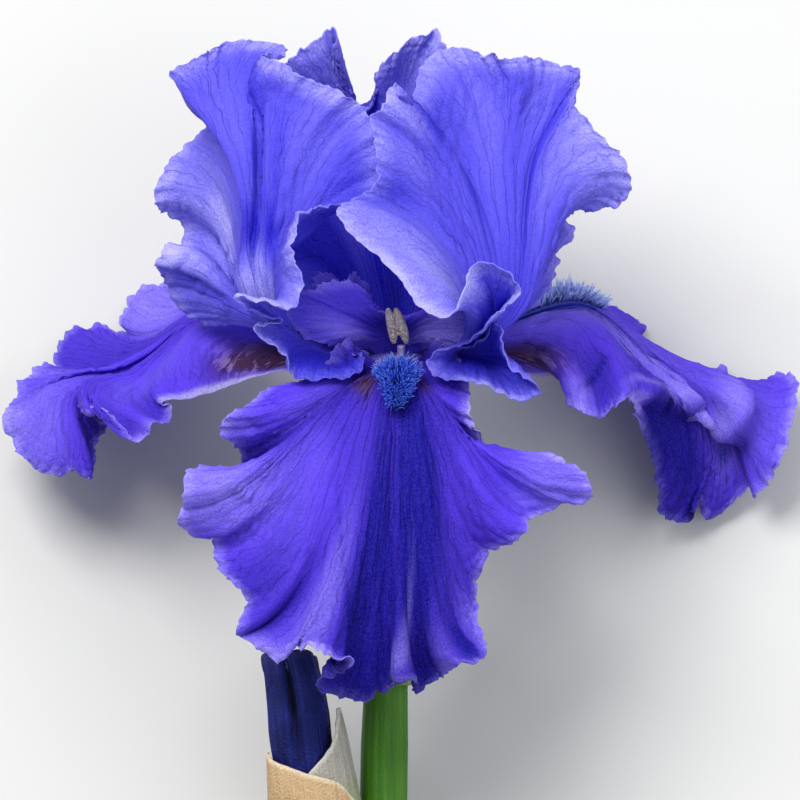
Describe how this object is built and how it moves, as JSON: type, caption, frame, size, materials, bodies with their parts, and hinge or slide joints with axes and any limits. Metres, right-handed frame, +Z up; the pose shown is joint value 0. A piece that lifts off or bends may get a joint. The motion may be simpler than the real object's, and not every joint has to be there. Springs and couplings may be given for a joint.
{
  "type": "bearded iris flower",
  "caption": "Cut bearded iris flower with ruffled violet-blue standards and falls, blue beards, a short stem and a dark bud in dry sheaths, lying down",
  "frame": {"origin": "bottom centre of the bounding box, on the surface that the flower lies on", "axes": "+Z up from that surface; +Y along the flower as it lies, from the cut end of the stem to the tips of the standards; +X to the right of the flower as its front is seen"},
  "size_m": [0.1598, 0.1904, 0.0898],
  "materials": {
    "fall": "deep violet-blue petal, velvety, fine dark veins, pale rim",
    "standard": "blue-violet petal, satin, dark branching veins, lilac rim",
    "style": "lilac-violet, satin",
    "filament": "pale lilac",
    "anther": "cream, grainy with pollen",
    "beard": "blue bristles, pale tips",
    "ovary": "smooth green, waxy",
    "stem": "smooth green with a grey bloom",
    "sheath": "green below, dry and papery above",
    "bud": "dark navy-violet, creased",
    "bud_sheath_tan": "tan, dry, papery",
    "bud_sheath_grey": "grey-white, thin and papery"
  },
  "bodies": {
    "root": {"fall_front": "fall", "fall_left": "fall", "fall_right": "fall", "standard_left": "standard", "standard_right": "standard", "standard_back": "standard", "style_front": "style", "filament_front": "filament", "anther_front": "anther", "beard_front": "beard", "style_left": "style", "filament_left": "filament", "anther_left": "anther", "beard_left": "beard", "style_right": "style", "filament_right": "filament", "anther_right": "anther", "beard_right": "beard", "ovary": "ovary", "stem": "stem", "sheath_outer": "sheath", "sheath_inner": "sheath", "bud": "bud", "bud_sheath_outer": "bud_sheath_tan", "bud_sheath_inner": "bud_sheath_grey"}
  },
  "joints": []
}
